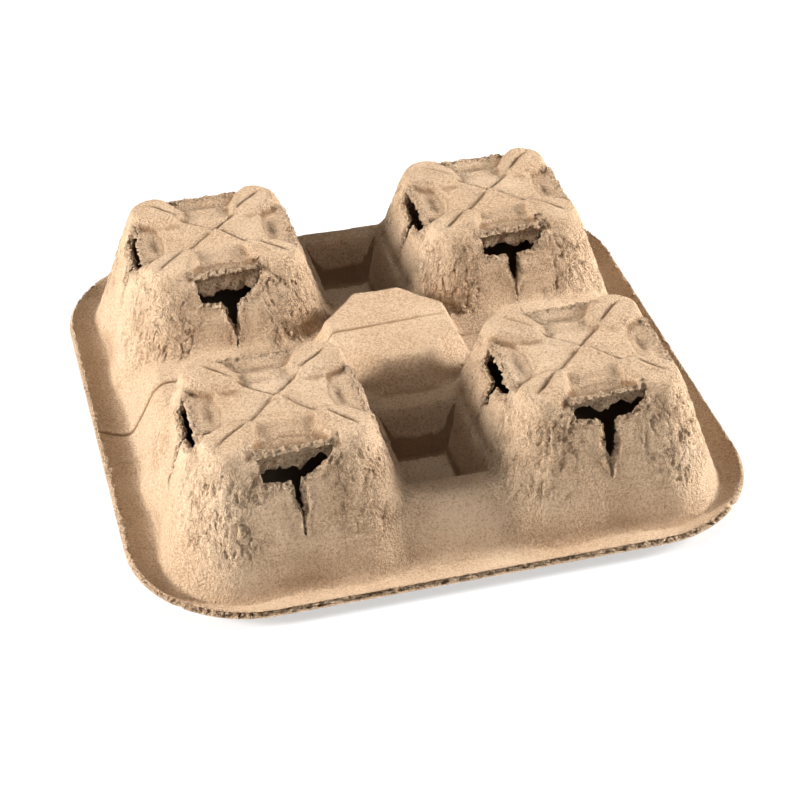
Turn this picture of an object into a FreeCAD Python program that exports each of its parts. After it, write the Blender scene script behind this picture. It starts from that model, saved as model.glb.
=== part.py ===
# Moulded pulp carrier for four cups, one thin pressed shell.
# It lies rim down on the table with its four cup pockets pointing up.
# +X runs to the right, +Y to the back, +Z up; the origin is the centre of the rest plane.
import FreeCAD, Part
import math
import os

Vec = FreeCAD.Vector

# Driving dimensions in millimetres
wall = 2.2                # thickness of the pulp, square to its face

pocket_foot = 91.0        # width of a pocket where it springs from the rim
pocket_foot_corner = 27.0 # plan radius of a pocket's corners at the foot
pocket_cap = 57.2         # width of a pocket at its closed end
pocket_height = 48.0      # rest plane to the middle of the closed end
pocket_gap = 15.2         # space between the feet of two neighbouring pockets
lobe_rise = 3.4           # four corner lobes stand this far above the middle
valley_radius = 30.0      # hollows that run out from the middle between the lobes
valley_fall = 2.6         # drop of a hollow from the middle to the pocket's side
cap_round = 5.0           # outside radius where the side rolls into the closed end
cap_bevels = 2            # that round is made of so many bevels outside and inside
cap_bevels_inside = 1

slot_width = 27.0         # horizontal part of each T-shaped cup slit
slot_foot_width = 21.0
slot_below_cap = 5.2      # top edge of the slit, under the middle of the closed end
slot_height = 4.2
slit_width = 3.4          # upright part of the T, at its top and at its tip
slit_tip_width = 1.2
slit_height = 11.0

flute_depth = 2.8         # shallow hollow down the middle of each pocket side
flute_top = 36.0          # height at which the hollow has run out
flute_radius = 28.0

plateau_height = 22.5     # saddles, ridges and shelf between the pockets
plateau_setback = 3.6     # the tray side stands this far inside the pocket feet
plateau_slope_run = 10.0  # inward lean of the tray side over its height
plateau_round = 7.0

bump_height = 34.0        # eight-sided bump in the middle
bump_top = 41.0
bump_foot = 50.0
bump_bevel = 2.0

pit_floor = 3.0           # height of the floor of the two open pits
pit_shelf = 36.0          # centre of the carrier to the near edge of a pit
pit_ridge = 9.0           # width of the ridge left between a pit and the tray side
pit_cover = 6.0           # the pit runs this far under each pocket side
pit_draft_run = 4.0
pit_corner = 9.0          # plan radius of a pit's corners at the plateau
pit_round = 3.5

gutter_flat = 2.4         # flat band that the carrier rests on
lip_run = 7.5             # the rim curls up over this width
lip_rise = 3.6
lip_runs = 2              # straight runs that make up the curl
rim_corner = 43.0         # plan radius of the rim's cut edge

# Places that follow from the dimensions
pocket_pitch = pocket_foot + pocket_gap
foot_reach = pocket_pitch / 2 + pocket_foot / 2
plateau_foot = foot_reach - plateau_setback
plateau_top = plateau_foot - plateau_slope_run
gutter_edge = foot_reach + gutter_flat
rim_half = gutter_edge + lip_run
lobe_height = pocket_height + lobe_rise
below = 2 * wall          # inner forms run this far under the rest plane


def rounded_outline(points, corner, radius, bevels):
    """Closed wire through points in the XZ plane, with one corner rounded.

    The round is an arc, or that arc's chords where a number of bevels is given.
    """
    peak = points[corner]
    before = points[corner - 1] - peak
    after = points[(corner + 1) % len(points)] - peak
    half_angle = before.getAngle(after) / 2
    before.normalize()
    after.normalize()
    start = peak + before * (radius / math.tan(half_angle))
    end = peak + after * (radius / math.tan(half_angle))
    inward = before + after
    inward.normalize()
    centre = peak + inward * (radius / math.sin(half_angle))
    arc = Part.Arc(start, centre - inward * radius, end)
    if bevels:
        turns = arc.toShape().discretize(Number=bevels + 1)
        edges = [Part.LineSegment(*pair).toShape() for pair in zip(turns, turns[1:])]
    else:
        edges = [arc.toShape()]
    ring = points[corner + 1:] + points[:corner]
    for point in ring + [start]:
        edges.append(Part.LineSegment(end, point).toShape())
        end = point
    return Part.Wire(edges)


def swept_round(section, reach_x, reach_y):
    """Sweep a face in the XZ plane round a rectangle whose corner axes stand at the reaches.

    The face holds distances from the corner axes, so it turns about them at each corner.
    """
    pieces = []
    for turn in range(4):
        ahead, aside = (reach_x, reach_y) if turn % 2 == 0 else (reach_y, reach_x)
        side = section.copy()
        side.translate(Vec(ahead, -aside, 0))
        end = section.copy()
        end.translate(Vec(ahead, aside, 0))
        straight = side.extrude(Vec(0, 2 * aside, 0))
        corner = end.revolve(Vec(ahead, aside, 0), Vec(0, 0, 1), 90)
        for piece in (straight, corner):
            piece.rotate(Vec(0, 0, 0), Vec(0, 0, 1), 90 * turn)
            pieces.append(piece)
    return pieces


def drafted_block(half_x, half_y, corner, low, high, lean, closed_round, bevels=0):
    """Block with round corners that narrows from its open face at low to its closed face at high.

    The lean is the inward run of a side for each unit of height, and the closed face's
    edge is rounded, in bevels where their number is given. High may lie under low, as
    in a hollow.
    """
    shrink = lean * abs(high - low)
    points = [Vec(0, 0, high), Vec(0, 0, low), Vec(corner, 0, low), Vec(corner - shrink, 0, high)]
    section = Part.Face(rounded_outline(points, 3, closed_round, bevels))
    reach_x = half_x - corner
    reach_y = half_y - corner
    core = Part.makeBox(2 * reach_x, 2 * reach_y, abs(high - low),
                        Vec(-reach_x, -reach_y, min(low, high)))
    return core.fuse(swept_round(section, reach_x, reach_y)).removeSplitter()


def edges_at(shape, z):
    """Edges of a shape that lie flat at one height."""
    flat = []
    for edge in shape.Edges:
        box = edge.BoundBox
        if abs(box.ZMin - z) < 1e-4 and abs(box.ZMax - z) < 1e-4:
            flat.append(edge)
    return flat


def round_about(tool):
    """Four copies of a tool, a quarter turn apart about the Z axis."""
    tools = []
    for turn in range(4):
        turned = tool.copy()
        turned.rotate(Vec(0, 0, 0), Vec(0, 0, 1), 90 * turn)
        tools.append(turned)
    return tools


def groove(start, end, radius, inset):
    """Cylinder that cuts a hollow whose deepest line passes through start and end.

    Both points lie in the XZ plane. The cylinder runs a radius past each of them, it
    lies to the left of the way from start to end, and an inset makes it thicker
    about the same axis.
    """
    along = end - start
    length = along.Length + 2 * radius
    along.normalize()
    aside = Vec(-along.z, 0, along.x)
    return Part.makeCylinder(radius + inset, length, start + (aside - along) * radius, along)


def valleys(inset):
    """Four hollows that fall from the middle of a closed end and leave its corner lobes."""
    middle = Vec(0, 0, pocket_height)
    side = Vec(pocket_cap / 2, 0, pocket_height - valley_fall)
    return round_about(groove(middle, side, valley_radius, inset))


def flutes(inset):
    """Four shallow hollows down the sides of a pocket, deepest at the foot."""
    lean = (pocket_foot - pocket_cap) / 2 / pocket_height
    top = Vec(pocket_foot / 2 - lean * flute_top, 0, flute_top)
    foot = Vec(pocket_foot / 2 - flute_depth, 0, 0)
    return round_about(groove(top, foot, flute_radius, inset))


def pocket(inset):
    """One cup pocket about the Z axis, as a solid form."""
    lean = (pocket_foot - pocket_cap) / 2 / pocket_height
    low = -below if inset else 0
    outward = -low * lean - inset * math.hypot(1, lean)
    half = pocket_foot / 2 + outward
    corner = pocket_foot_corner + outward
    bevels = cap_bevels_inside if inset else cap_bevels
    form = drafted_block(half, half, corner, low, lobe_height - inset, lean,
                         cap_round - inset, bevels)
    return form.cut(valleys(inset) + flutes(inset))


def cup_slits():
    """The T-shaped slits in the four sides of a pocket, as cutting tools."""
    top = pocket_height - slot_below_cap
    bottom = top - slot_height
    outline = [
        (-slot_width / 2, top),
        (slot_width / 2, top),
        (slot_foot_width / 2, bottom),
        (slit_width / 2, bottom),
        (slit_tip_width / 2, bottom - slit_height),
        (-slit_tip_width / 2, bottom - slit_height),
        (-slit_width / 2, bottom),
        (-slot_foot_width / 2, bottom),
    ]
    inside = pocket_cap / 4
    points = [Vec(inside, across, z) for across, z in outline]
    face = Part.Face(Part.makePolygon(points + points[:1]))
    tool = face.extrude(Vec(pocket_foot / 2 - inside, 0, 0))
    return round_about(tool)


def pit(grow):
    """One open pit on the -Y side, as the form of its hollow."""
    near = -pit_shelf
    far = -(plateau_top - pit_ridge)
    half_x = pocket_gap / 2 + (pocket_foot - pocket_cap) / 2 * plateau_height / pocket_height
    half_x += pit_cover
    lean = pit_draft_run / (plateau_height - pit_floor)
    above = wall
    outward = above * lean + grow * math.hypot(1, lean)
    hollow = drafted_block(half_x + outward, (near - far) / 2 + outward, pit_corner + outward,
                           plateau_height + above, pit_floor - grow, lean, pit_round + grow)
    hollow.translate(Vec(0, (near + far) / 2, 0))
    return hollow


def plateau(inset):
    """The tray between the pockets, with its two pits taken out."""
    lean = plateau_slope_run / plateau_height
    low = -below if inset else 0
    outward = -low * lean - inset * math.hypot(1, lean)
    half = plateau_foot + outward
    corner = rim_corner - (rim_half - plateau_foot) + outward
    form = drafted_block(half, half, corner, low, plateau_height - inset, lean,
                         plateau_round - inset)
    front = pit(inset)
    back = front.copy()
    back.rotate(Vec(0, 0, 0), Vec(0, 0, 1), 180)
    return form.cut([front, back])


def bump(inset):
    """The eight-sided bump in the middle, as two square frustums that cross."""
    lean = (bump_foot - bump_top) / 2 / (bump_height - plateau_height)
    low = plateau_height - 2 * wall
    high = bump_height - inset
    shift = inset * math.hypot(1, lean)
    foot = bump_top / 2 + (bump_height - low) * lean - shift
    top = bump_top / 2 + (bump_height - high) * lean - shift
    square = Part.makeWedge(-foot, low, -foot, -top, -top, foot, high, foot, top, top)
    square.rotate(Vec(0, 0, 0), Vec(1, 0, 0), 90)
    turned = square.copy()
    turned.rotate(Vec(0, 0, 0), Vec(0, 0, 1), 45)
    form = square.common(turned)
    return form.makeChamfer(bump_bevel, edges_at(form, high))


def body(inset):
    """The whole raised form: tray, bump and four pockets."""
    one = pocket(inset)
    parts = [bump(inset)]
    for sx, sy in ((-1, -1), (1, -1), (-1, 1), (1, 1)):
        placed = one.copy()
        placed.translate(Vec(sx * pocket_pitch / 2, sy * pocket_pitch / 2, 0))
        parts.append(placed)
    return plateau(inset).fuse(parts).removeSplitter()


def rim():
    """Flat band and upturned lip, swept round the carrier."""
    reach = rim_half - rim_corner
    inner = plateau_top - pit_ridge - reach
    edge = gutter_edge - reach
    bend = (lip_run ** 2 + lip_rise ** 2) / (2 * lip_rise)
    full_angle = math.atan2(lip_run, bend - lip_rise)

    def along_lip(radius, share):
        angle = full_angle * share
        return Vec(edge + radius * math.sin(angle), 0, bend - radius * math.cos(angle))

    shares = [run / lip_runs for run in range(lip_runs + 1)]
    under = [along_lip(bend, share) for share in shares]
    over = [along_lip(bend - wall, share) for share in reversed(shares)]
    outline = [Vec(inner, 0, 0)] + under + over + [Vec(inner, 0, wall)]
    section = Part.Face(Part.makePolygon(outline + outline[:1]))
    pieces = swept_round(section, reach, reach)
    return pieces[0].fuse(pieces[1:]).removeSplitter()


def cup_carrier():
    """The pressed shell with its slits."""
    shell = rim().fuse(body(0)).cut(body(wall))
    tools = cup_slits()
    for sx, sy in ((-1, -1), (1, -1), (-1, 1), (1, 1)):
        place = Vec(sx * pocket_pitch / 2, sy * pocket_pitch / 2, 0)
        placed = []
        for tool in tools:
            copy = tool.copy()
            copy.translate(place)
            placed.append(copy)
        shell = shell.cut(placed)
    return shell


os.makedirs("parts", exist_ok=True)
carrier = cup_carrier()
solids = carrier.Solids
solid = max(solids, key=lambda piece: piece.Volume)
print("solids", len(solids), "valid", solid.isValid(), "volume", round(solid.Volume))
box = solid.BoundBox
print("size", round(box.XLength, 2), round(box.YLength, 2), round(box.ZLength, 2), "low", round(box.ZMin, 3))
solid.exportStep("parts/cup_carrier.step")
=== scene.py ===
import math

import bmesh
import bpy
import numpy as np
from mathutils import Matrix, Vector


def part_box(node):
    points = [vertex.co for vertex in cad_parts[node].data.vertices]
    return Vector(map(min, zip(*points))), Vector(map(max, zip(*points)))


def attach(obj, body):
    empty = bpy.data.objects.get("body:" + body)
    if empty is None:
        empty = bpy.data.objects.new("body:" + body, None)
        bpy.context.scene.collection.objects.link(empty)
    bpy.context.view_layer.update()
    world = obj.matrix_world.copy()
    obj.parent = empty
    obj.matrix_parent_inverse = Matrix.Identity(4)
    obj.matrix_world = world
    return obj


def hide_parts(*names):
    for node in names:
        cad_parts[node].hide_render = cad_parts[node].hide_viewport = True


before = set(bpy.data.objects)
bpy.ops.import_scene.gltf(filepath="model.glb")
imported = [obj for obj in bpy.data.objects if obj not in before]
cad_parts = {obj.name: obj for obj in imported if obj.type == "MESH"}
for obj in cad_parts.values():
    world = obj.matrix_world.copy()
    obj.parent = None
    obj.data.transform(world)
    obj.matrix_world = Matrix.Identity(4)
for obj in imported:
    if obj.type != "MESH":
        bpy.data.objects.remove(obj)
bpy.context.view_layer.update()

# Pressed pulp carrier for four cups, lying rim down with its pockets up.
# Lengths are in millimetres until a mesh or a node is made, which are in metres.
MM = 0.001

# The plan's half width comes from the frame
_, cad_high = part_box("cup_carrier")
rim_half = cad_high[0] / MM

# Shell sizes
wall = 2.2
edge_inset = 1.25           # the cut edge leans out by this much under its upper line
rim_corner = 42.0
lip_run = 9.5
lip_rise = 3.9
lip_curl = 1.5

pocket_centre = 53.1
pocket_core = 18.5          # a pocket's plan corners turn about axes this far from its own
pocket_foot_round = 27.0
pocket_lean = 0.352
pocket_middle = 48.7
facet_fall = 0.085
ear_place = 20.5            # the cap's four corners stand up as rounded ears
ear_rise = 5.0
ear_top = 5.2
ear_foot = 10.6
cap_limit = 50.32           # keeps the ears, with their relief, inside the CAD height
cap_round = 1.4
crease_rise = 1.1           # step along the strong crease of a cap, and the groove beside it
crease_groove = 0.55
cross_rise = 0.85           # ridge along the crease that crosses it, and its groove
cross_groove = 0.7
arch_place = 16.8           # folded arch over each slit
arch_rise = 0.7
arch_groove = 0.55
dimple_place = 21.6         # dimple between the arch and the slit
dimple_depth = 1.2
flute_depth = 2.8
flute_top = 38.0
flute_half = 7.0

tray_height = 22.5
tray_foot = 95.0
tray_corner = 34.0
tray_slope = 2.0
tray_round = 7.0
pit_middle = 56.0
pit_half_x = 14.0
pit_half_y = 20.5
pit_floor = 3.0
pit_steep = 4.5
pit_draft = 4.5             # a pit's sides start this far inside its opening
pit_round = 4.0
bump_height = 34.0
bump_half = 20.5
bump_steep = 2.2
bump_round = 2.8
bump_join = 3.0             # blends where the bump, the pockets and the rim meet the tray
pocket_join = 6.0
rim_join = 4.0
seam_place = 0.6
seam_rise = 0.7
seam_groove = 1.4

# Worn edge of the rim
edge_back = 1.1             # keeps the wear inside the CAD outline
edge_bulge = 0.35
edge_wear = 0.30

# Tears and the plies behind them
tear_step = 0.7
tear_throw = 0.32
tear_layers = (             # depth from the pocket's side and raggedness of a tear's rings
    (-9.0, 0.1), (-3.0, 0.25), (-2.3, 0.4), (-1.7, 0.3), (-1.1, 0.4),
    (-0.5, 0.3), (0.1, 0.35), (0.9, 0.3), (6.0, 0.1),
)
ply_columns = 34
ply_rows = 7
ply_thickness = 0.8
ply_depth = 4.0

# Runs and corners of a tear's outline, by their numbers in slit_outline
right_edge = slice(6, 11)
left_edge = slice(11, 16)
right_foot = slice(3, 7)
left_foot = slice(15, None)
upper_left, upper_right = 0, 3
low_corners = (16, 15, 6, 5)

# First seeds of the random wanders; pockets, rows and tears add to them
bump_seed = 7
seam_seed = 31
pocket_seed = 40
edge_seeds = (60, 70, 80)
lip_seeds = (300, 320, 340, 360)
ply_seeds = (400, 420, 440)
wander_values = 512
wander_start = 200          # keeps the first step of a wander positive

# Mesh density
under_lines = 112
fine_share = 4              # grid steps of the upper face for one of the under face
wall_density = 1.5
edge_rows = 5
shell_triangles = 157000    # before the tears, which bring it to just under 200,000

# Camera that the photograph was taken with, and its aim
camera_place = (-152.67, -588.68, 455.77)
camera_aim = (3.43, -0.90, -1.0)
camera_roll = math.radians(-0.33)
camera_lens = 92.93

# Floor, with a painted shadow: dark under the carrier so that no bright floor shows through the
# tears
floor_half = 6.0            # metres
floor_colour = (0.86, 0.86, 0.85, 1)
floor_lift = 0.55
shade_colour = (0.20, 0.15, 0.11, 1)
shade_margin = 13

rng = np.random.default_rng(20)


def smooth_min(first, second, reach):
    """The lower of two surfaces, blended where they are within reach of each other."""
    share = np.clip(0.5 + 0.5 * (second - first) / reach, 0, 1)
    return second * (1 - share) + first * share - reach * share * (1 - share)


def smooth_max(first, second, reach):
    return -smooth_min(-first, -second, reach)


def smooth_step(value, low, high):
    share = np.clip((value - low) / (high - low), 0, 1)
    return share * share * (3 - 2 * share)


def bell(value, half):
    return np.exp(-((value / half) ** 2))


def from_rounded_square(x, y, half, corner):
    """Distance outside a rounded square, negative inside."""
    over_x = np.abs(x) - (half - corner)
    over_y = np.abs(y) - (half - corner)
    outside = np.hypot(np.maximum(over_x, 0), np.maximum(over_y, 0))
    return outside + np.minimum(np.maximum(over_x, over_y), 0) - corner


def wander(position, seed, pitch, size):
    """Smooth random wander along a line, from values drawn at an even pitch."""
    draw = np.random.default_rng(seed)
    values = draw.uniform(-1, 1, wander_values)
    place = position / pitch + wander_start
    step = np.floor(place).astype(int)
    share = place - step
    share = share * share * (3 - 2 * share)
    before, after = values[step % wander_values], values[(step + 1) % wander_values]
    return size * (before * (1 - share) + after * share)


def from_pocket_core(a, b):
    """Distance from the square that a pocket's round corners turn about."""
    return np.hypot(np.maximum(np.abs(a) - pocket_core, 0), np.maximum(np.abs(b) - pocket_core, 0))


def side_plane_at(z):
    """How far a pocket's leaning side lies from its middle at a height."""
    return pocket_core + pocket_foot_round - pocket_lean * z


def on_side(out_and_along, turn, centre):
    """Plan places of points given as out from a pocket's middle and along its side."""
    cos, sin = math.cos(turn), math.sin(turn)
    return out_and_along @ np.array([[cos, -sin], [sin, cos]]).T + centre


def pocket_height_at(a, b, seed):
    """Height of one pocket's outer face at a place measured from its middle."""
    far = np.maximum(np.abs(a), np.abs(b))
    near = np.minimum(np.abs(a), np.abs(b))
    from_core = from_pocket_core(a, b)
    plain = (pocket_foot_round - from_core) / pocket_lean
    depth = flute_depth * np.clip(1 - plain / flute_top, 0, 1.1)
    side = plain - depth * bell(near, flute_half * 1.4) / pocket_lean

    outward = (np.abs(a) + np.abs(b)) / math.sqrt(2) - ear_place * math.sqrt(2)
    across = (np.abs(a) - np.abs(b)) / math.sqrt(2)
    ear = np.hypot(outward * np.where(outward < 0, 0.68, 1.0), across * 1.04)
    ear += wander(np.degrees(np.arctan2(b, a)), seed + 2, 17.0, 0.9)
    cap = pocket_middle - facet_fall * far + ear_rise * (1 - smooth_step(ear, ear_top, ear_foot))
    cap = smooth_min(cap, np.full_like(cap, cap_limit), cap_round)
    inward = 1 - smooth_step(from_core, 2.0, 8.0)
    strong = (a - b) / math.sqrt(2) + wander(a + b, seed, 13.0, 0.45)
    soft = (a + b) / math.sqrt(2) + wander(a - b, seed + 1, 13.0, 0.4)
    crease = crease_rise * smooth_step(strong, -0.8, 0.7) * np.exp(-np.maximum(strong, 0) / 8.0)
    crease -= crease_groove * bell(strong + 0.8, 0.7)
    crease += cross_rise * bell(soft, 1.5) - cross_groove * bell(soft - 1.7, 0.7)
    cap += inward * crease - 0.5 * (1 - smooth_step(ear, 0, ear_foot))
    # a folded arch and a dimple lie over each slit
    arch = far - (arch_place + near ** 2 / 40.0) + wander(near, seed + 3, 5.0, 0.5)
    cap += (arch_rise * bell(arch, 1.3) * bell(near, 11.0)
            - arch_groove * bell(arch - 1.6, 0.7) * bell(near, 9.0))
    cap -= dimple_depth * bell(far - dimple_place, 2.4) * bell(near, 8.5)
    reach = 2.2 + 3.0 * smooth_step(near, 12, 19)
    return smooth_min(side, cap, reach)


def bump_height_at(x, y):
    """Height of the eight-sided bump in the middle."""
    slanted = (np.abs(x) + np.abs(y)) / math.sqrt(2) * 1.02
    reach = np.maximum(np.maximum(np.abs(x), np.abs(y)), slanted)
    reach = reach + wander(np.degrees(np.arctan2(y, x)), bump_seed, 21.0, 0.5)
    side = bump_height + (bump_half + 1 - reach) * bump_steep
    return smooth_min(np.full_like(x, bump_height), side, bump_round)


def tray_height_at(x, y):
    """Height of the tray between the pockets, with its two pits and the bump."""
    inside = -from_rounded_square(x, y, tray_foot, tray_corner)
    side = wall + inside * tray_slope
    tray = smooth_min(side, np.full_like(x, tray_height), tray_round)
    beyond = np.maximum(np.abs(x) - pit_half_x, np.abs(np.abs(y) - pit_middle) - pit_half_y)
    pit = pit_floor + np.maximum(beyond + pit_draft, 0) * pit_steep
    tray = smooth_min(tray, pit, pit_round)
    return smooth_max(tray, bump_height_at(x, y), bump_join)


def seam_at(x, y):
    """Low step and groove left across the middle where two fibre mats met."""
    line = y - seam_place - wander(x, seam_seed, 16.0, 1.3)
    strength = smooth_step(-x, -40, 60) * 0.7 + 0.3
    step = seam_rise * smooth_step(line, -0.5, 0.8) * bell(line, 7.0)
    return strength * (step - seam_groove * bell(line + 0.4, 0.75))


def carrier_height_at(x, y):
    """Height of the upper face of the whole carrier."""
    from_rim = from_rounded_square(x, y, rim_half - edge_inset, rim_corner)
    rim = wall + lip_rise * np.clip((from_rim + lip_run) / lip_run, 0, 1) ** lip_curl
    form = tray_height_at(x, y)
    for number, (side_x, side_y) in enumerate(((-1, -1), (1, -1), (-1, 1), (1, 1))):
        one = pocket_height_at(x - side_x * pocket_centre, y - side_y * pocket_centre,
                               pocket_seed + 5 * number)
        form = smooth_max(form, one, pocket_join)
    return smooth_max(rim, form, rim_join) + seam_at(x, y)


def grid_lines(half):
    """Places of the grid lines across the carrier, closer together on the pockets' sides."""
    fine = np.linspace(-half, half, 4001)
    across = np.abs(np.abs(fine) - pocket_centre)
    density = 1 + wall_density * smooth_step(across, 24, 30) * (1 - smooth_step(across, 43, 50))
    total = np.concatenate([[0], np.cumsum((density[1:] + density[:-1]) / 2)])
    count = (under_lines - 1) * fine_share + 1
    return np.interp(np.linspace(0, total[-1], count), total, fine)


def round_the_plan(x, y, half, corner):
    """Move points of a square so that its border takes the rim's rounded outline."""
    far = np.maximum(np.maximum(np.abs(x), np.abs(y)), 1e-9)
    slant = np.minimum(np.abs(x), np.abs(y)) / far
    centre = half - corner
    total = half * half * (1 + slant * slant)
    cross = half * centre * (1 + slant)
    inner = cross * cross - total * (2 * centre * centre - corner * corner)
    reach = (cross + np.sqrt(np.maximum(inner, 0))) / total
    reach = np.where(half * slant > centre, reach, 1.0)
    share = 1 - (1 - reach) * (far / half) ** 6
    return x * share, y * share


def surface_normals(points):
    """Unit normals of a grid of points, by central differences."""
    along = np.gradient(points, axis=1)
    across = np.gradient(points, axis=0)
    normals = np.cross(along, across)
    return normals / np.linalg.norm(normals, axis=2, keepdims=True)


def grid_numbers(rows, columns, first=0):
    return first + np.arange(rows * columns).reshape(rows, columns)


def grid_quads(count, first, upward):
    """Vertex numbers of a square grid's quads."""
    numbers = grid_numbers(count, count, first)
    corners = [numbers[:-1, :-1], numbers[:-1, 1:], numbers[1:, 1:], numbers[1:, :-1]]
    if not upward:
        corners.reverse()
    return np.stack(corners, axis=-1).reshape(-1, 4)


def border_of(numbers):
    """Vertex numbers round a grid's border, in order and once each."""
    sides = [numbers[0, :-1], numbers[:-1, -1], numbers[-1, :0:-1], numbers[:0:-1, 0]]
    return np.concatenate(sides)


def mesh_from(name, points, quads, triangles):
    """Mesh with the given points in millimetres, and quads and triangles of their numbers."""
    mesh = bpy.data.meshes.new(name)
    mesh.vertices.add(len(points))
    mesh.vertices.foreach_set("co", (points * MM).astype(np.float32).ravel())
    corners = np.concatenate([quads.ravel(), triangles.ravel()])
    sides = np.concatenate([np.full(len(quads), 4), np.full(len(triangles), 3)])
    mesh.loops.add(len(corners))
    mesh.loops.foreach_set("vertex_index", corners.astype(np.int32))
    mesh.polygons.add(len(sides))
    starts = np.concatenate([[0], np.cumsum(sides)[:-1]])
    mesh.polygons.foreach_set("loop_start", starts.astype(np.int32))
    mesh.update(calc_edges=True)
    mesh.validate()
    return mesh


def store(mesh, name, values, kind="FLOAT", field="value"):
    """Keep one value for each vertex under a name, for the node trees to read."""
    layer = mesh.attributes.new(name, kind, "POINT")
    layer.data.foreach_set(field, np.asarray(values, np.float32).ravel())


def from_line(u, z, line):
    """Distance of places from a line of short straight runs."""
    nearest = np.full(u.shape, 1e9)
    for (start_u, start_z), (end_u, end_z) in zip(line, line[1:]):
        run_u, run_z = end_u - start_u, end_z - start_z
        share = ((u - start_u) * run_u + (z - start_z) * run_z) / (run_u ** 2 + run_z ** 2)
        share = np.clip(share, 0, 1)
        apart = np.hypot(u - start_u - share * run_u, z - start_z - share * run_z)
        nearest = np.minimum(nearest, apart)
    return nearest


def turn_lips_out(points, tears):
    """Bend the lips of every tear off the pocket's side, and say how torn each point is."""
    torn = np.zeros(len(points))
    for number, (outline, turn, centre, curl) in enumerate(tears):
        outward = np.array([math.cos(turn), math.sin(turn)])
        along = np.array([-math.sin(turn), math.cos(turn)])
        plan = points[:, :2] - centre
        out, u, z = plan @ outward, plan @ along, points[:, 2]
        near = np.flatnonzero((out > 18) & (out < 46) & (np.abs(u) < 20) & (z > 14))
        out, u, z = out[near], u[near], z[near]
        inset = side_plane_at(z) - out - 0.6 - 2.0 * curl
        inset += wander(u, lip_seeds[0] + number, 2.2, 0.5)
        window = smooth_step(z, 42, 45) * (1 - smooth_step(np.abs(u), 12.5, 15.5))
        right = from_line(u, z, outline[right_edge])
        left = from_line(u, z, outline[left_edge])
        below = np.minimum(from_line(u, z, outline[right_foot]),
                           from_line(u, z, outline[left_foot]))
        uneven = 1 + wander(u, lip_seeds[1] + number, 0.9, 0.3)
        roll = bell(inset - 0.9, 1.6) * window * uneven
        lift = -0.9 * curl * bell(below, 3.5) + 0.3 * bell(below, 2.5) - 0.4 * bell(right, 2.5)
        # the outer ply is torn back from the slit, which leaves a shallow step beside it
        beside = np.minimum(np.minimum(left, right), below)
        bare = 1.1 + wander(z, lip_seeds[2] + number, 2.6, 0.8)
        bare += wander(u, lip_seeds[3] + number, 1.3, 0.5)
        bare *= 0.25 + 0.75 * smooth_step(z, 23, 31)
        lift += 0.7 * bell(beside - bare - 0.3, 0.55) - 0.6 * smooth_step(bare - beside, 0.0, 0.4)
        points[near, :2] += lift[:, None] * outward
        points[near, 2] += (0.6 + 1.3 * curl) * roll
        edge = np.maximum(bell(inset - 0.6, 1.9) * window, smooth_step(bare - beside, -0.4, 0.3))
        torn[near] = np.maximum(torn[near], edge)
    return torn


def shell_points(tears):
    """Upper and under faces of the shell as two grids of points, and how torn the upper one is."""
    half = rim_half - edge_inset
    lines = grid_lines(half)
    x, y = np.meshgrid(lines, lines)
    x, y = round_the_plan(x, y, half, rim_corner)
    upper = np.stack([x, y, carrier_height_at(x, y)], axis=2)
    torn = turn_lips_out(upper.reshape(-1, 3), tears)
    normals = surface_normals(upper)
    under = (upper - normals * wall)[::fine_share, ::fine_share].copy()
    under[:, :, 2] = np.maximum(under[:, :, 2], 0)
    return upper, under, torn


def edge_band(upper, under, first):
    """Rows of points across the cut edge of the rim, worn and uneven, and their numbers."""
    count = len(upper)
    order = border_of(grid_numbers(count, count))
    top = upper.reshape(-1, 3)[order]
    low = under.reshape(-1, 3)[border_of(grid_numbers(len(under), len(under)))]
    place = np.arange(len(order)) / fine_share
    low = np.stack([np.interp(place, np.arange(len(low) + 1), np.append(low[:, axis], low[0, axis]))
                    for axis in range(3)], axis=1)
    outward = top[:, :2] / np.linalg.norm(top[:, :2], axis=1, keepdims=True)
    length = np.concatenate([[0], np.cumsum(np.linalg.norm(np.diff(top, axis=0), axis=1))])
    rows = []
    for row in range(1, edge_rows + 1):
        share = row / (edge_rows + 1)
        band = top * (1 - share) + low * share
        bulge = edge_bulge * math.sin(math.pi * share)
        fine_wear = wander(length, edge_seeds[0] + row, 1.3, edge_wear)
        worn = bulge + fine_wear + wander(length, edge_seeds[1] + row, 5.0, edge_wear) - edge_back
        band[:, :2] += outward * worn[:, None]
        band[:, 2] += wander(length, edge_seeds[2] + row, 2.0, 0.18)
        rows.append(band)
    numbers = [order]
    for row in range(edge_rows):
        numbers.append(first + row * len(order) + np.arange(len(order)))
    return np.concatenate(rows), numbers


def fan_strip(fine, coarse):
    """Triangles between a fine ring of vertex numbers and a coarse one under it."""
    triangles = []
    steps = np.arange(len(coarse))
    after = np.roll(coarse, -1)
    for step in range(fine_share):
        first = fine[steps * fine_share + step]
        second = fine[(steps * fine_share + step + 1) % len(fine)]
        corner = coarse if step < fine_share / 2 else after
        triangles.append(np.stack([first, corner, second], axis=1))
    middle = fine[steps * fine_share + (fine_share + 1) // 2]
    triangles.append(np.stack([middle, coarse, after], axis=1))
    return np.concatenate(triangles)


def hollows(upper):
    """How far each point of a grid lies below the points round it, in millimetres."""
    height = upper[:, :, 2]
    total = np.zeros_like(height)
    count = 0
    for step in (1, 2, 3):
        padded = np.pad(height, step, mode="edge")
        size = len(height)
        for row in (0, step, 2 * step):
            for column in (0, step, 2 * step):
                total += padded[row:row + size, column:column + size]
                count += 1
    return total / count - height


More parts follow.
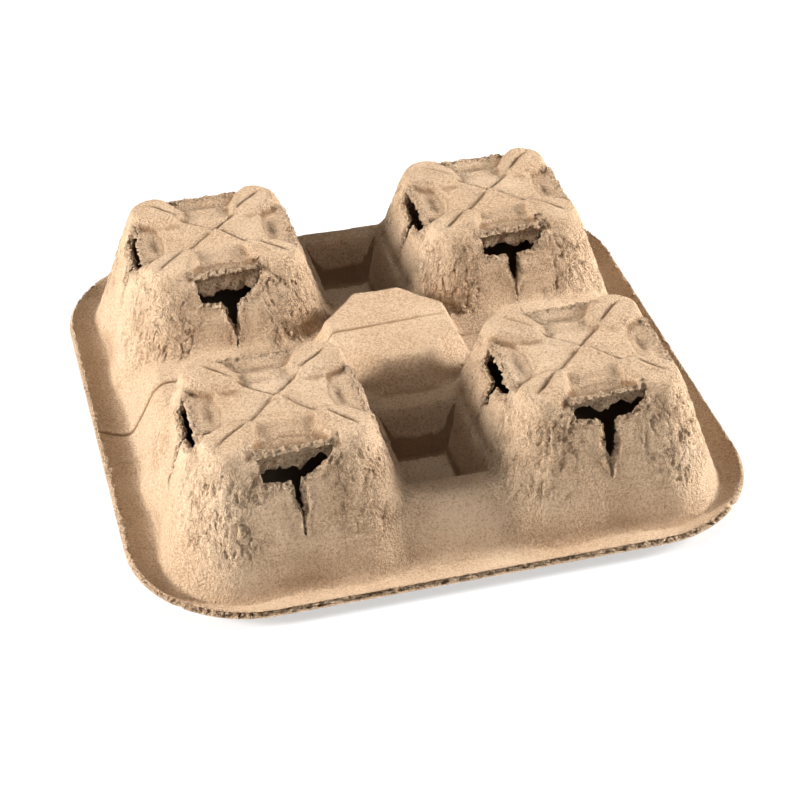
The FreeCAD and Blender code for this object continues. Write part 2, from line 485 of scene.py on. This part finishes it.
def corner_skin(flat):
    """Where the pockets' corners wrinkle, and places round each pocket that the wrinkles follow."""
    rib = np.zeros(len(flat))
    skin = np.zeros((len(flat), 3))
    for side_x in (-1, 1):
        for side_y in (-1, 1):
            a = flat[:, 0] - side_x * pocket_centre
            b = flat[:, 1] - side_y * pocket_centre
            mine = (side_x * flat[:, 0] >= 0) & (side_y * flat[:, 1] >= 0)
            turn = np.arctan2(b, a)
            corner = np.abs(np.sin(2 * turn))
            height = flat[:, 2]
            from_core = from_pocket_core(a, b)
            mask = smooth_step(corner, 0.30, 0.8) * smooth_step(height, 7, 20)
            mask *= 1 - smooth_step(height, 43, 49)
            mask *= smooth_step(from_core, 7, 11) * (1 - smooth_step(from_core, 20, 25))
            rib = np.where(mine, mask, rib)
            place = np.stack([turn * 34.0 + 300 * side_x, height * 0.36 + 300 * side_y,
                              np.hypot(a, b) * 0.1], axis=1)
            skin = np.where(mine[:, None], place, skin)
    return rib, skin


def shell_mesh(tears):
    """Closed shell of an upper face, an under face and the cut edge between them.

    It carries what the relief and the pulp read: torn, hollow, rib, skin and face.
    """
    upper, under, torn = shell_points(tears)
    grid = len(upper) ** 2
    under_grid = len(under) ** 2
    band, numbers = edge_band(upper, under, grid + under_grid)
    strips = []
    for above, below in zip(numbers, numbers[1:]):
        strips.append(np.stack([above, below, np.roll(below, -1), np.roll(above, -1)], axis=1))
    points = np.concatenate([upper.reshape(-1, 3), under.reshape(-1, 3), band])
    faces = [grid_quads(len(upper), 0, True), grid_quads(len(under), grid, False)]
    quads = np.concatenate(faces + strips)
    triangles = fan_strip(numbers[-1], border_of(grid_numbers(len(under), len(under), grid)))
    mesh = mesh_from("pulp_shell", points, quads, triangles)

    rib, skin = corner_skin(upper.reshape(-1, 3))
    rest = np.zeros(len(points) - grid)
    edge = np.concatenate([np.zeros(under_grid), np.ones(len(band))])
    store(mesh, "torn", np.concatenate([torn, edge]))
    store(mesh, "hollow", np.concatenate([hollows(upper).ravel(), rest]))
    store(mesh, "rib", np.concatenate([rib, rest]))
    skin = np.concatenate([skin, np.zeros((len(rest), 3))]) * MM
    store(mesh, "skin", skin, "FLOAT_VECTOR", "vector")
    store(mesh, "face", np.concatenate([np.ones(grid), rest]))
    return mesh


class Tree:
    """A small helper that adds nodes to a tree and wires them as they are made."""

    def __init__(self, tree):
        self.tree = tree

    def add(self, kind, inputs=(), **settings):
        node = self.tree.nodes.new(kind)
        for name, value in settings.items():
            setattr(node, name, value)
        for key, value in dict(inputs).items():
            self.feed(node.inputs[key], value)
        return node

    def feed(self, socket, value):
        if isinstance(value, bpy.types.Node):
            value = next(out for out in value.outputs if out.enabled)
        if isinstance(value, bpy.types.NodeSocket):
            self.tree.links.new(value, socket)
        else:
            socket.default_value = value

    def math(self, operation, first, second=0.0, third=0.0):
        return self.add("ShaderNodeMath", {0: first, 1: second, 2: third}, operation=operation)

    def scaled(self, value, size):
        return self.math("MULTIPLY", value, size)

    def ramp(self, value, low, high):
        """Share that runs from 0 where the value is low to 1 where it is high."""
        return self.add("ShaderNodeMapRange", {"Value": value, "From Min": low, "From Max": high})

    def noise(self, place, scale, detail, rough, warp=0.0):
        node = self.add("ShaderNodeTexNoise", {
            "Vector": place, "Scale": scale, "Detail": detail, "Roughness": rough,
            "Distortion": warp,
        })
        return node.outputs[0]

    def mix(self, share, first, second):
        node = self.add("ShaderNodeMix", {0: share, 6: first, 7: second}, data_type="RGBA")
        return node.outputs[2]

    def stored(self, name, output="Fac"):
        return self.add("ShaderNodeAttribute", attribute_name=name).outputs[output]

    def straight_rays(self):
        """1 for what the camera sees, in gloss and through glass too, and 0 for other light."""
        path = self.add("ShaderNodeLightPath").outputs
        seen = self.math("MAXIMUM", path["Is Camera Ray"], path["Is Glossy Ray"])
        return self.math("MAXIMUM", seen, path["Is Transmission Ray"])


def relief_tree():
    """Node tree that presses wrinkles and grain into the faces of the shell."""
    group = bpy.data.node_groups.new("pulp_relief", "GeometryNodeTree")
    group.is_modifier = True
    group.interface.new_socket("Geometry", in_out="INPUT", socket_type="NodeSocketGeometry")
    sizes = (
        ("Wrinkle Width", 0.0022),
        ("Wrinkle Depth", 0.0012),
        ("Crack Width", 0.0034),
        ("Crack Depth", 0.0005),
        ("Lump Width", 0.010),
        ("Lump Depth", 0.0009),
        ("Grain Width", 0.0016),
        ("Grain Depth", 0.00055),
        ("Fluff Width", 0.0016),
        ("Fluff Depth", 0.0036),
    )
    for name, value in sizes:
        socket = group.interface.new_socket(name, in_out="INPUT", socket_type="NodeSocketFloat")
        socket.default_value = value
    group.interface.new_socket("Geometry", in_out="OUTPUT", socket_type="NodeSocketGeometry")
    made = Tree(group)
    given = made.add("NodeGroupInput").outputs
    position = made.add("GeometryNodeInputPosition")

    def named(name, kind="FLOAT"):
        return made.add("GeometryNodeInputNamedAttribute", {"Name": name}, data_type=kind)

    def noise(place, width, detail, rough, warp=0.0):
        """Noise about 0 whose patches are so wide."""
        scale = made.math("DIVIDE", 1.0, width)
        return made.math("SUBTRACT", made.noise(place, scale, detail, rough, warp), 0.5)

    rib, face, torn = named("rib"), named("face"), named("torn")
    skin = named("skin", "FLOAT_VECTOR")
    ridges = made.math("ABSOLUTE", noise(skin, given["Wrinkle Width"], 3.0, 0.55, 0.4))
    furrow = made.math("MINIMUM", made.scaled(ridges, 14.0), 1.0)
    furrow = made.math("SUBTRACT", furrow, 1.0)
    flakes = noise(skin, given["Wrinkle Width"], 4.0, 0.7, 0.8)
    wrinkle = made.math("MULTIPLY_ADD", flakes, 1.3, made.math("MULTIPLY", furrow, 0.55))
    patchy = made.math("MULTIPLY_ADD", noise(position, 0.009, 2.0, 0.5), 3.0, 0.75)
    patchy.use_clamp = True
    wrinkle = made.math("MULTIPLY", wrinkle, made.math("MULTIPLY", rib, given["Wrinkle Depth"]))
    wrinkle = made.math("MULTIPLY", wrinkle, patchy)

    bent = made.add("ShaderNodeTexNoise", {"Vector": skin, "Scale": 260.0, "Detail": 3.0})
    shift = made.add("ShaderNodeVectorMath",
                     {0: bent.outputs["Color"], 1: (0.0035, 0.0035, 0.0035), 2: skin},
                     operation="MULTIPLY_ADD")
    cell_scale = made.math("DIVIDE", 1.0, given["Crack Width"])
    cells = made.add("ShaderNodeTexVoronoi", {"Vector": shift, "Scale": cell_scale},
                     feature="DISTANCE_TO_EDGE")
    crack = made.ramp(cells.outputs["Distance"], 0.10, 0.0)
    open_here = made.ramp(noise(skin, 0.012, 2.0, 0.5), 0.0, 0.12)
    crack = made.math("MULTIPLY", made.math("MULTIPLY", crack, open_here), rib)
    crack = made.math("MULTIPLY", crack, given["Crack Depth"])

    lumps = made.scaled(noise(position, given["Lump Width"], 3.0, 0.5), given["Lump Depth"])
    grain = made.scaled(noise(position, given["Grain Width"], 3.0, 0.75), given["Grain Depth"])
    fluff = noise(position, given["Fluff Width"], 2.0, 0.6, 0.8)
    fluff = made.math("MULTIPLY", made.scaled(fluff, given["Fluff Depth"]), torn)
    small = made.math("SUBTRACT", made.math("ADD", wrinkle, grain), crack)
    small = made.math("ADD", small, fluff)
    total = made.math("MULTIPLY", made.math("ADD", small, lumps), made.math("MAXIMUM", face, torn))
    offset = made.add("ShaderNodeVectorMath", {0: made.add("GeometryNodeInputNormal")},
                      operation="SCALE")
    made.feed(offset.inputs["Scale"], total)
    # the small relief in millimetres, which the pulp reads to paint shade in the furrows
    relief_for_shade = made.math("DIVIDE", small, 0.001)
    kept = made.add("GeometryNodeStoreNamedAttribute",
                    {"Geometry": given["Geometry"], "Name": "relief", "Value": relief_for_shade},
                    data_type="FLOAT", domain="POINT")
    moved = made.add("GeometryNodeSetPosition", {"Geometry": kept, "Offset": offset})
    made.add("NodeGroupOutput", {"Geometry": moved})
    return group


def slit_outline(left, right, top, low, slit, bend, shut_z, tip_z):
    """Outline of a T-shaped tear across and up a pocket's side, clockwise from its upper left end.

    Top and low are the left and right heights of the wide part; the upright part bends aside as it
    runs down, is nearly shut at shut_z and ends at tip_z.
    """
    junction = min(low) - 0.6
    return [
        (-left, top[0]),
        (-left * 0.45, top[0] * 0.7 + top[1] * 0.3 + 0.3),
        (right * 0.4, top[0] * 0.3 + top[1] * 0.7 + 0.3),
        (right, top[1]),
        (right * 0.93, top[1] * 0.55 + low[1] * 0.45),
        (right * 0.55, low[1]),
        (slit * 0.75, junction + 0.4),
        (slit * 0.5 + bend * 0.1, junction - 2.0),
        (slit * 0.4 + bend * 0.5, shut_z + 3.5),
        (0.35 + bend, shut_z),
        (0.14 + bend, tip_z),
        (-0.14 + bend, tip_z + 0.2),
        (-0.25 + bend, shut_z + 0.5),
        (-slit * 0.5 + bend * 0.5, shut_z + 4.2),
        (-slit * 0.5, junction - 1.4),
        (-slit * 0.8, junction + 0.4),
        (-left * 0.6, low[0]),
        (-left * 0.88, low[0] + 0.4),
    ]


def ragged(outline, step, size):
    """The outline divided into short steps, each thrown off its line by a random amount."""
    points = []
    for start, end in zip(outline, outline[1:] + outline[:1]):
        length = math.dist(start, end)
        count = max(1, round(length / step))
        for number in range(count):
            share = number / count
            points.append([start[axis] + (end[axis] - start[axis]) * share for axis in (0, 1)])
    points = np.array(points)
    return points + rng.uniform(-size, size, points.shape)


def tear_points(outline, layers):
    """Rings of a tear, one for each depth in layers, in out, across and up."""
    base = ragged(outline, tear_step, tear_throw)
    rings = []
    for depth, size in layers:
        ring = base + rng.uniform(-size, size, base.shape)
        out = side_plane_at(ring[:, 1]) + depth
        ring[:, 1] += min(depth + 1.3, 0)
        rings.append(np.column_stack([out, ring]))
    return rings


def tear_mesh(tears):
    """One mesh that holds every tear as a closed block."""
    points, faces = [], []
    for outline, turn, centre, _ in tears:
        rings = tear_points(outline, tear_layers)
        first = sum(len(part) for part in points)
        count = len(rings[0])
        for ring in rings:
            points.append(np.column_stack([on_side(ring[:, :2], turn, centre), ring[:, 2]]))
        for layer in range(len(rings) - 1):
            for number in range(count):
                after = (number + 1) % count
                low = first + layer * count
                faces.append((low + number, low + count + number, low + count + after, low + after))
        last = first + (len(rings) - 1) * count
        faces.append(tuple(range(last + count - 1, last - 1, -1)))
        faces.append(tuple(range(first, first + count)))
    mesh = bpy.data.meshes.new("tears")
    mesh.from_pydata((np.concatenate(points) * MM).tolist(), [], faces)
    mesh.validate()
    store(mesh, "torn", np.ones(len(mesh.vertices)))
    return mesh


def ply_mesh(tears):
    """Torn inner plies that hang behind the upper lip of every tear, as thin closed ribbons."""
    points, quads = [], []
    grid = grid_numbers(ply_rows, ply_columns)
    loop = border_of(grid)
    count = grid.size
    for number, (outline, turn, centre, _) in enumerate(tears):
        (first_u, first_z), (last_u, last_z) = outline[upper_left], outline[upper_right]
        u, share = np.meshgrid(np.linspace(first_u + 0.3, last_u - 0.3, ply_columns),
                               np.linspace(0, 1, ply_rows))
        top = np.interp(u, (first_u, last_u), (first_z, last_z)) - 0.6
        low = np.interp(u, *zip(*(outline[corner] for corner in low_corners))) + 2.2
        low += (wander(u, ply_seeds[0] + number, 3.0, 1.5)
                + wander(u, ply_seeds[1] + number, 0.9, 0.7) - 0.6)
        z = top + share * (np.minimum(low, top - 1.5) - top)
        depth = -ply_depth - 0.2 * share + wander(u + 3 * share, ply_seeds[2] + number, 1.6, 0.6)
        for back in (0.0, ply_thickness):
            out = side_plane_at(z) + depth - back
            ring = np.stack([out.ravel(), u.ravel()], axis=1)
            ring += rng.uniform(-0.12, 0.12, (count, 2))
            points.append(np.column_stack([on_side(ring, turn, centre), z.ravel()]))
        start = 2 * number * count
        faces = np.stack([grid[:-1, :-1], grid[1:, :-1], grid[1:, 1:], grid[:-1, 1:]], axis=-1)
        faces = faces.reshape(-1, 4)
        side = np.stack([loop, np.roll(loop, -1), np.roll(loop, -1) + count, loop + count], axis=-1)
        quads += [faces + start, faces[:, ::-1] + start + count, side + start]
    points = np.concatenate(points)
    mesh = mesh_from("torn_plies", points, np.concatenate(quads), np.empty((0, 3), int))
    store(mesh, "torn", np.ones(len(points)))
    return mesh


def cup_tears():
    """A T-shaped tear in each side of each pocket: outline, turn, pocket's middle and lip curl.

    The four front ones are drawn after the photograph, and the rest vary at random.
    """
    front = {
        (-1, -1): (12.4, 13.6, (46.8, 48.0), (38.6, 41.4), 2.1, 1.1, 27.5, 20.5),
        (-1, 1): (12.4, 12.4, (46.8, 48.4), (38.4, 39.8), 4.2, 0.5, 29.0, 21.5),
        (1, -1): (13.2, 14.0, (47.2, 49.0), (42.0, 41.4), 4.2, -0.4, 27.5, 22.0),
        (1, 1): (12.0, 12.6, (47.0, 47.6), (40.2, 40.4), 3.4, 0.3, 29.5, 22.0),
    }
    tears = []
    for side_x in (-1, 1):
        for side_y in (-1, 1):
            centre = np.array([side_x * pocket_centre, side_y * pocket_centre])
            for quarter in range(4):
                left, right = rng.uniform(11.6, 13.4, 2)
                top = rng.uniform(45.6, 46.6, 2)
                low = top - rng.uniform(5.2, 6.6, 2)
                slit, bend = rng.uniform(2.2, 3.6), rng.uniform(-1.0, 1.0)
                shut_z, tip_z = rng.uniform(28, 31), rng.uniform(20, 23)
                shape = (left, right, top, low, slit, bend, shut_z, tip_z)
                curl = 0.25
                if quarter == 3:
                    shape, curl = front[side_x, side_y], 1.0
                tears.append((slit_outline(*shape), quarter * math.pi / 2, centre, curl))
    return tears


def object_from(mesh):
    """An object at the origin that holds the mesh and takes its name."""
    piece = bpy.data.objects.new(mesh.name, mesh)
    bpy.context.collection.objects.link(piece)
    return piece


def bake(piece):
    """Give the piece the mesh that its modifiers make, and no modifier."""
    graph = bpy.context.evaluated_depsgraph_get()
    mesh = bpy.data.meshes.new_from_object(piece.evaluated_get(graph), depsgraph=graph)
    mesh.name = piece.name
    piece.modifiers.clear()
    piece.data = mesh


def fibre_streaks(made, place):
    """Short thin fibres that lie in two directions."""
    streaks = []
    for turn in ((0.3, 0.9, 0.5), (0.1, -0.8, 2.2)):
        mapping = made.add("ShaderNodeMapping",
                           {"Vector": place, "Rotation": turn, "Scale": (0.0036, 0.0006, 0.0006)},
                           vector_type="TEXTURE")
        middle = made.math("SUBTRACT", made.noise(mapping, 1.0, 2.0, 0.6), 0.5)
        streaks.append(made.ramp(made.math("ABSOLUTE", middle), 0.02, 0.0))
    return made.math("MAXIMUM", *streaks)


def gritty_grains(made, place):
    """Fine grain about 0.5, from two widths of noise."""
    fine = made.scaled(made.noise(place, 2300, 2, 0.7), 0.6)
    grains = made.math("MULTIPLY_ADD", made.noise(place, 1100, 2, 0.5), 0.4, fine)
    return made.math("MULTIPLY_ADD", made.math("SUBTRACT", grains, 0.5), 1.9, 0.5)


def fine_folds(made, place):
    """Hair-thin folds in patches of the pockets' wrinkled corners, for the bump and for painted
    shade along them.
    """
    skin = made.stored("skin", "Vector")
    fold = made.math("ABSOLUTE", made.math("SUBTRACT", made.noise(skin, 430, 4, 0.6), 0.5))
    fold = made.math("MULTIPLY", made.ramp(fold, 0.05, 0.0), made.stored("rib"))
    return made.math("MULTIPLY", fold, made.ramp(made.noise(place, 95, 2, 0.5), 0.42, 0.55))


def dark_specks(made, place):
    """A few round specks of darker fibre."""
    cells = made.add("ShaderNodeTexVoronoi", {"Vector": place, "Scale": 170.0}).outputs
    rare = made.ramp(cells["Color"], 0.72, 0.74)
    return made.math("MULTIPLY", made.ramp(cells["Distance"], 0.10, 0.05), rare)


def painted_hollow_shade(made, place, torn):
    """Share of painted shade in furrows, in the creases and in the pits of a torn face."""
    pits = made.math("MULTIPLY", made.ramp(made.noise(place, 950, 2, 0.6), 0.52, 0.66), torn)
    furrows = made.scaled(made.ramp(made.stored("relief"), -0.22, -0.8), 0.45)
    creases = made.scaled(made.ramp(made.stored("hollow"), 0.09, 0.42), 0.8)
    deep = made.math("MAXIMUM", furrows, creases)
    return made.math("MAXIMUM", deep, made.scaled(pits, 0.8))


def pulp_material(name, base, dark, pale):
    """Matt undyed pulp: mottled tan with fine fibre flecks and a gritty grain."""
    material = bpy.data.materials.new(name)
    material.use_nodes = True
    material.node_tree.nodes.clear()
    made = Tree(material.node_tree)
    place = made.add("ShaderNodeTexCoord").outputs["Object"]
    torn = made.stored("torn")
    streaks = fibre_streaks(made, place)
    grains = gritty_grains(made, place)
    folds = fine_folds(made, place)

    colour = made.mix(made.ramp(made.noise(place, 38, 4, 0.6), 0.35, 0.68), base, pale)
    stains = made.ramp(made.noise(place, 120, 5, 0.65), 0.5, 0.75)
    colour = made.mix(made.scaled(stains, 0.14), colour, dark)
    colour = made.mix(made.scaled(torn, 0.25), colour, pale)
    colour = made.mix(made.scaled(streaks, 0.22), colour, pale)
    colour = made.mix(made.scaled(made.ramp(grains, 0.49, 0.70), 0.48), colour, dark)
    colour = made.mix(made.scaled(made.ramp(grains, 0.51, 0.34), 0.75), colour, pale)
    colour = made.mix(made.scaled(dark_specks(made, place), 0.55), colour, dark)
    # painted shade along the fine folds
    colour = made.mix(made.scaled(folds, 0.35), colour, dark)
    # painted shade in the furrows, the creases and the pits of torn faces
    colour = made.mix(painted_hollow_shade(made, place, torn), colour, dark)

    height = made.math("MULTIPLY_ADD", made.noise(place, 330, 4, 0.6), 0.6,
                       made.scaled(grains, -0.45))
    height = made.math("MULTIPLY_ADD", made.noise(place, 900, 3, 0.7), 0.9, height)
    height = made.math("MULTIPLY_ADD", streaks, 0.08, height)
    height = made.math("MULTIPLY_ADD", folds, -0.5, height)
    rougher = made.math("MULTIPLY_ADD", torn, 0.8, 1.0)
    height = made.math("MULTIPLY", height, rougher)
    bump = made.add("ShaderNodeBump", {"Height": height, "Strength": 1.0, "Distance": 0.0015})
    shader = made.add("ShaderNodeBsdfPrincipled", {
        "Base Color": colour, "Roughness": 0.93, "Specular IOR Level": 0.15,
        "Normal": bump.outputs[0],
    })
    made.add("ShaderNodeOutputMaterial", {"Surface": shader.outputs[0]})
    return material


def drop_crumbs(mesh):
    """Leave out the loose crumbs that the tears free, so that one part is left."""
    work = bmesh.new()
    work.from_mesh(mesh)
    for corner in work.verts:
        corner.tag = False
    parts = []
    for first in work.verts:
        if first.tag:
            continue
        first.tag = True
        part = [first]
        for corner in part:
            for edge in corner.link_edges:
                other = edge.other_vert(corner)
                if not other.tag:
                    other.tag = True
                    part.append(other)
        parts.append(part)
    shell = max(parts, key=len)
    crumbs = [corner for part in parts if part is not shell for corner in part]
    bmesh.ops.delete(work, geom=crumbs, context="VERTS")
    work.to_mesh(mesh)
    work.free()


def triangles_in(mesh):
    """How many triangles a mesh comes to."""
    return sum(len(face.vertices) - 2 for face in mesh.polygons)


def torn_plies(tears):
    """The torn inner plies as one piece."""
    plies = object_from(ply_mesh(tears))
    plies.data.shade_smooth()
    return plies


def pulp_shell(tears):
    """The pressed shell with its relief and its tears.

    It is thinned before it is cut, because thinning after the cut opens the mesh.
    """
    shell = object_from(shell_mesh(tears))
    relief = shell.modifiers.new("relief", "NODES")
    relief.node_group = relief_tree()
    bake(shell)
    thin = shell.modifiers.new("thin", "DECIMATE")
    thin.ratio = shell_triangles / triangles_in(shell.data)
    thin.use_collapse_triangulate = True
    bake(shell)

    cutter = object_from(tear_mesh(tears))
    cutter.modifiers.new("flat_faces", "TRIANGULATE")
    bake(cutter)
    cut = shell.modifiers.new("tears", "BOOLEAN")
    cut.operation = "DIFFERENCE"
    cut.solver = "MANIFOLD"
    cut.object = cutter
    bake(shell)
    bpy.data.objects.remove(cutter)
    drop_crumbs(shell.data)
    shell.data.shade_smooth()
    shell.data.set_sharp_from_angle(angle=math.radians(50))
    return shell


def make_camera():
    """Camera at the photograph's viewing angle."""
    camera = bpy.data.objects.new("camera", bpy.data.cameras.new("camera"))
    bpy.context.collection.objects.link(camera)
    place = Vector(camera_place) * MM
    aim = Vector(camera_aim) * MM
    camera.data.lens = camera_lens
    turn = (aim - place).to_track_quat("-Z", "Y").to_matrix() @ Matrix.Rotation(camera_roll, 3, "Z")
    camera.matrix_world = Matrix.Translation(place) @ turn.to_4x4()
    bpy.context.scene.camera = camera


def make_lamp(name, place, size, power):
    """Square area lamp in metres and watts, aimed at the carrier."""
    lamp = bpy.data.objects.new(name, bpy.data.lights.new(name, "AREA"))
    bpy.context.collection.objects.link(lamp)
    lamp.data.shape = "SQUARE"
    lamp.data.size = size
    lamp.data.energy = power
    lamp.location = place
    lamp.rotation_euler = (-Vector(place)).to_track_quat("-Z", "Y").to_euler()


def make_lights():
    """Plain studio light from both sides, and a world that looks white but gives little light."""
    make_lamp("left_lamp", (-1.28, -0.02, 0.49), 0.4, 42.0)
    make_lamp("right_lamp", (1.28, -0.06, 0.45), 0.4, 42.0)
    make_lamp("top_lamp", (0.05, 0.30, 1.4), 0.5, 4.5)
    make_lamp("front_lamp", (-0.1, -1.3, 0.72), 0.5, 2.5)
    world = bpy.data.worlds.new("studio")
    bpy.context.scene.world = world
    world.use_nodes = True
    world.node_tree.nodes.clear()
    made = Tree(world.node_tree)
    dim = made.add("ShaderNodeBackground", {"Color": (1, 1, 1, 1), "Strength": 0.04})
    white = made.add("ShaderNodeBackground", {"Color": (1, 1, 1, 1), "Strength": 1.0})
    both = made.add("ShaderNodeMixShader", {0: made.straight_rays(), 1: dim.outputs[0],
                                               2: white.outputs[0]})
    made.add("ShaderNodeOutputWorld", {"Surface": both.outputs[0]})


def beyond_shade(made, place):
    """1 on the floor outside a rounded square of painted shadow that lies hidden under the rim, and
    0 inside it.
    """
    axes = made.add("ShaderNodeSeparateXYZ", {"Vector": place}).outputs
    squares = []
    for axis in (0, 1):
        over = made.math("ABSOLUTE", axes[axis])
        over = made.math("SUBTRACT", over, (rim_half - rim_corner) * MM)
        over = made.math("MAXIMUM", over, 0.0)
        squares.append(made.math("MULTIPLY", over, over))
    far = made.math("SQRT", made.math("ADD", *squares))
    return made.math("GREATER_THAN", far, (rim_corner - shade_margin) * MM)


def make_floor():
    """Pale floor that shows nearly white and keeps the carrier's shadow, with a painted shadow in a
    dark patch hidden under the rim.
    """
    mesh = bpy.data.meshes.new("floor")
    corners = [(x * floor_half, y * floor_half, 0) for x, y in ((-1, -1), (1, -1), (1, 1), (-1, 1))]
    mesh.from_pydata(corners, [], [(0, 1, 2, 3)])
    floor = object_from(mesh)
    material = bpy.data.materials.new("pale_floor")
    material.use_nodes = True
    material.node_tree.nodes.clear()
    made = Tree(material.node_tree)
    outside = beyond_shade(made, made.add("ShaderNodeTexCoord").outputs["Object"])
    # painted shadow: the floor under the rim takes a dark colour and no lift
    shade = made.mix(outside, shade_colour, floor_colour)
    plain = made.add("ShaderNodeBsdfDiffuse", {"Color": shade})
    lift = made.add("ShaderNodeEmission", {"Color": (1, 1, 1, 1), "Strength": 1.0})
    share = made.scaled(made.math("MULTIPLY", made.straight_rays(), outside), floor_lift)
    both = made.add("ShaderNodeMixShader", {0: share, 1: plain.outputs[0], 2: lift.outputs[0]})
    made.add("ShaderNodeOutputMaterial", {"Surface": both.outputs[0]})
    mesh.materials.append(material)


bpy.context.scene.view_settings.view_transform = "Standard"
make_camera()
make_lights()
make_floor()

tears = cup_tears()
shell = pulp_shell(tears)
plies = torn_plies(tears)
pulp = pulp_material("pulp", base=(0.60, 0.40, 0.245, 1), dark=(0.27, 0.145, 0.068, 1),
                     pale=(0.77, 0.56, 0.375, 1))
for piece in (shell, plies):
    piece.data.materials.clear()
    piece.data.materials.append(pulp)
    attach(piece, "root")
    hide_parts("cup_carrier")
